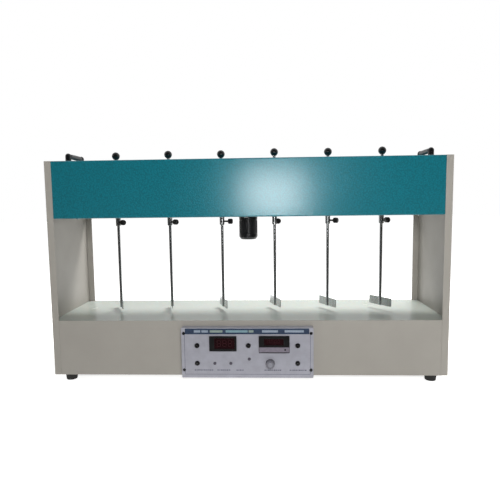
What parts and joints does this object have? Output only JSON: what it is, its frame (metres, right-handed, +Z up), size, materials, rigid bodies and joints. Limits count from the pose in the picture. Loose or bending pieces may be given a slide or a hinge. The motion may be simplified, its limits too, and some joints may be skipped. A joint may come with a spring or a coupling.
{
  "type": "jar tester",
  "caption": "Bench jar tester: base with control panel, two side panels and a header whose gear train turns clamped stirrers that lift out of the jars.",
  "frame": {"origin": "centre of the bounding box at floor level, under the feet", "axes": "+Z up, the control panel faces -Y, +X to the viewer's right along the row of stirrers"},
  "size_m": [1.0044, 0.2946, 0.5965],
  "materials": {
    "cream_paint": "satin powder coat",
    "teal_enamel": "fine hammered enamel",
    "pale_acrylic": "polished opal acrylic",
    "lamp_white": "white enamel and glass",
    "board_green": "circuit board",
    "steel_plate": "zinc-plated steel",
    "bronze": "sintered bronze",
    "bright_steel": "turned steel",
    "gear_steel": "hobbed and turned steel",
    "stainless": "drawn stainless steel",
    "black_plastic": "moulded black plastic",
    "black_paint": "black baked enamel",
    "black_rubber": "moulded rubber",
    "silver_panel": "silver-grey screened aluminium",
    "red_filter": "dark red filter",
    "lamp_lens": "smoked lens",
    "grey_plastic": "moulded pale grey plastic"
  },
  "bodies": {
    "frame": {"left_side_panel": "cream_paint", "right_side_panel": "cream_paint", "base_tray": "cream_paint", "base_front_panel": "cream_paint", "base_rear_cover": "cream_paint", "base_top_plate": "pale_acrylic", "base_lamp": "lamp_white", "control_board": "board_green", "header_hood": "teal_enamel", "header_base_plate": "steel_plate", "upper_bearing_plate": "steel_plate", "plate_pillars": "steel_plate", "shaft_bushes": "bronze", "idler_shafts": "bright_steel", "rod_guides": "black_plastic", "gear_motor": "black_paint", "carry_handles": "black_plastic", "feet": "black_rubber", "control_panel": "silver_panel", "display_bezels": "black_plastic", "display_windows": "red_filter", "indicator_lamps": "lamp_lens", "switch_bodies": "black_plastic", "mains_inlet": "black_plastic", "case_screws": "bright_steel"},
    "drive_gear": {"drive_gear": "gear_steel"},
    "idler_gear_1": {"idler_gear_1": "gear_steel"},
    "idler_gear_2": {"idler_gear_2": "gear_steel"},
    "idler_gear_3": {"idler_gear_3": "gear_steel"},
    "idler_gear_4": {"idler_gear_4": "gear_steel"},
    "spindle_1": {"spindle_1": "gear_steel"},
    "stirrer_1": {"stirrer_1": "stainless", "lift_knob_1": "black_plastic"},
    "thumb_screw_1": {"thumb_screw_1": "black_plastic"},
    "spindle_2": {"spindle_2": "gear_steel"},
    "stirrer_2": {"stirrer_2": "stainless", "lift_knob_2": "black_plastic"},
    "thumb_screw_2": {"thumb_screw_2": "black_plastic"},
    "spindle_3": {"spindle_3": "gear_steel"},
    "stirrer_3": {"stirrer_3": "stainless", "lift_knob_3": "black_plastic"},
    "thumb_screw_3": {"thumb_screw_3": "black_plastic"},
    "spindle_4": {"spindle_4": "gear_steel"},
    "stirrer_4": {"stirrer_4": "stainless", "lift_knob_4": "black_plastic"},
    "thumb_screw_4": {"thumb_screw_4": "black_plastic"},
    "spindle_5": {"spindle_5": "gear_steel"},
    "stirrer_5": {"stirrer_5": "stainless", "lift_knob_5": "black_plastic"},
    "thumb_screw_5": {"thumb_screw_5": "black_plastic"},
    "spindle_6": {"spindle_6": "gear_steel"},
    "stirrer_6": {"stirrer_6": "stainless", "lift_knob_6": "black_plastic"},
    "thumb_screw_6": {"thumb_screw_6": "black_plastic"},
    "push_button_1": {"push_button_1": "black_plastic"},
    "push_button_2": {"push_button_2": "black_plastic"},
    "push_button_3": {"push_button_3": "black_plastic"},
    "push_button_4": {"push_button_4": "black_plastic"},
    "push_button_5": {"push_button_5": "black_plastic"},
    "speed_knob": {"speed_knob": "grey_plastic"}
  },
  "joints": [
    {"name": "drive_spin", "type": "hinge", "parent": "frame", "child": "drive_gear", "pos_m": [0, 0.01565, 0.447], "axis": [0, 0, 1], "continuous": true},
    {"name": "idler_1_spin", "type": "hinge", "parent": "frame", "child": "idler_gear_1", "pos_m": [-0.287, 0.01565, 0.447], "axis": [0, 0, 1], "continuous": true},
    {"name": "idler_2_spin", "type": "hinge", "parent": "frame", "child": "idler_gear_2", "pos_m": [-0.1435, 0.01565, 0.447], "axis": [0, 0, 1], "continuous": true},
    {"name": "idler_3_spin", "type": "hinge", "parent": "frame", "child": "idler_gear_3", "pos_m": [0.1435, 0.01565, 0.447], "axis": [0, 0, 1], "continuous": true},
    {"name": "idler_4_spin", "type": "hinge", "parent": "frame", "child": "idler_gear_4", "pos_m": [0.287, 0.01565, 0.447], "axis": [0, 0, 1], "continuous": true},
    {"name": "spindle_1_spin", "type": "hinge", "parent": "frame", "child": "spindle_1", "pos_m": [-0.35875, 0.01565, 0.447], "axis": [0, 0, 1], "continuous": true},
    {"name": "stirrer_1_lift", "type": "slide", "parent": "spindle_1", "child": "stirrer_1", "axis": [0, 0, 1], "range_m": [-0.006, 0.19]},
    {"name": "thumb_screw_1_turn", "type": "hinge", "parent": "spindle_1", "child": "thumb_screw_1", "pos_m": [-0.35875, 0.01565, 0.402], "axis": [0.766, -0.6428, 0], "range_deg": [0, 540]},
    {"name": "spindle_2_spin", "type": "hinge", "parent": "frame", "child": "spindle_2", "pos_m": [-0.21525, 0.01565, 0.447], "axis": [0, 0, 1], "continuous": true},
    {"name": "stirrer_2_lift", "type": "slide", "parent": "spindle_2", "child": "stirrer_2", "axis": [0, 0, 1], "range_m": [-0.006, 0.19]},
    {"name": "thumb_screw_2_turn", "type": "hinge", "parent": "spindle_2", "child": "thumb_screw_2", "pos_m": [-0.21525, 0.01565, 0.402], "axis": [0.8192, -0.5736, 0], "range_deg": [0, 540]},
    {"name": "spindle_3_spin", "type": "hinge", "parent": "frame", "child": "spindle_3", "pos_m": [-0.07175, 0.01565, 0.447], "axis": [0, 0, 1], "continuous": true},
    {"name": "stirrer_3_lift", "type": "slide", "parent": "spindle_3", "child": "stirrer_3", "axis": [0, 0, 1], "range_m": [-0.006, 0.19]},
    {"name": "thumb_screw_3_turn", "type": "hinge", "parent": "spindle_3", "child": "thumb_screw_3", "pos_m": [-0.07175, 0.01565, 0.402], "axis": [0.9986, -0.0523, 0], "range_deg": [0, 540]},
    {"name": "spindle_4_spin", "type": "hinge", "parent": "frame", "child": "spindle_4", "pos_m": [0.07175, 0.01565, 0.447], "axis": [0, 0, 1], "continuous": true},
    {"name": "stirrer_4_lift", "type": "slide", "parent": "spindle_4", "child": "stirrer_4", "axis": [0, 0, 1], "range_m": [-0.006, 0.19]},
    {"name": "thumb_screw_4_turn", "type": "hinge", "parent": "spindle_4", "child": "thumb_screw_4", "pos_m": [0.07175, 0.01565, 0.402], "axis": [0.2924, -0.9563, 0], "range_deg": [0, 540]},
    {"name": "spindle_5_spin", "type": "hinge", "parent": "frame", "child": "spindle_5", "pos_m": [0.21525, 0.01565, 0.447], "axis": [0, 0, 1], "continuous": true},
    {"name": "stirrer_5_lift", "type": "slide", "parent": "spindle_5", "child": "stirrer_5", "axis": [0, 0, 1], "range_m": [-0.006, 0.19]},
    {"name": "thumb_screw_5_turn", "type": "hinge", "parent": "spindle_5", "child": "thumb_screw_5", "pos_m": [0.21525, 0.01565, 0.402], "axis": [0.8988, -0.4384, 0], "range_deg": [0, 540]},
    {"name": "spindle_6_spin", "type": "hinge", "parent": "frame", "child": "spindle_6", "pos_m": [0.35875, 0.01565, 0.447], "axis": [0, 0, 1], "continuous": true},
    {"name": "stirrer_6_lift", "type": "slide", "parent": "spindle_6", "child": "stirrer_6", "axis": [0, 0, 1], "range_m": [-0.006, 0.19]},
    {"name": "thumb_screw_6_turn", "type": "hinge", "parent": "spindle_6", "child": "thumb_screw_6", "pos_m": [0.35875, 0.01565, 0.402], "axis": [0.3746, -0.9272, 0], "range_deg": [0, 540]},
    {"name": "push_button_1_press", "type": "slide", "parent": "frame", "child": "push_button_1", "axis": [0, 1, 0], "range_m": [0, 0.003], "stiffness_N_per_m": 300, "springref_m": -0.002},
    {"name": "push_button_2_press", "type": "slide", "parent": "frame", "child": "push_button_2", "axis": [0, 1, 0], "range_m": [0, 0.003], "stiffness_N_per_m": 300, "springref_m": -0.002},
    {"name": "push_button_3_press", "type": "slide", "parent": "frame", "child": "push_button_3", "axis": [0, 1, 0], "range_m": [0, 0.003], "stiffness_N_per_m": 300, "springref_m": -0.002},
    {"name": "push_button_4_press", "type": "slide", "parent": "frame", "child": "push_button_4", "axis": [0, 1, 0], "range_m": [0, 0.003], "stiffness_N_per_m": 300, "springref_m": -0.002},
    {"name": "push_button_5_press", "type": "slide", "parent": "frame", "child": "push_button_5", "axis": [0, 1, 0], "range_m": [0, 0.003], "stiffness_N_per_m": 300, "springref_m": -0.002},
    {"name": "speed_knob_turn", "type": "hinge", "parent": "frame", "child": "speed_knob", "pos_m": [0.057, -0.13285, 0.054], "axis": [0, -1, 0], "range_deg": [-150, 150]}
  ],
  "couplings": [
    {"joint": "idler_1_spin", "follows": "drive_spin", "ratio": 1},
    {"joint": "idler_2_spin", "follows": "drive_spin", "ratio": 1},
    {"joint": "idler_3_spin", "follows": "drive_spin", "ratio": 1},
    {"joint": "idler_4_spin", "follows": "drive_spin", "ratio": 1},
    {"joint": "spindle_1_spin", "follows": "drive_spin", "ratio": -1},
    {"joint": "spindle_2_spin", "follows": "drive_spin", "ratio": -1},
    {"joint": "spindle_3_spin", "follows": "drive_spin", "ratio": -1},
    {"joint": "spindle_4_spin", "follows": "drive_spin", "ratio": -1},
    {"joint": "spindle_5_spin", "follows": "drive_spin", "ratio": -1},
    {"joint": "spindle_6_spin", "follows": "drive_spin", "ratio": -1}
  ]
}
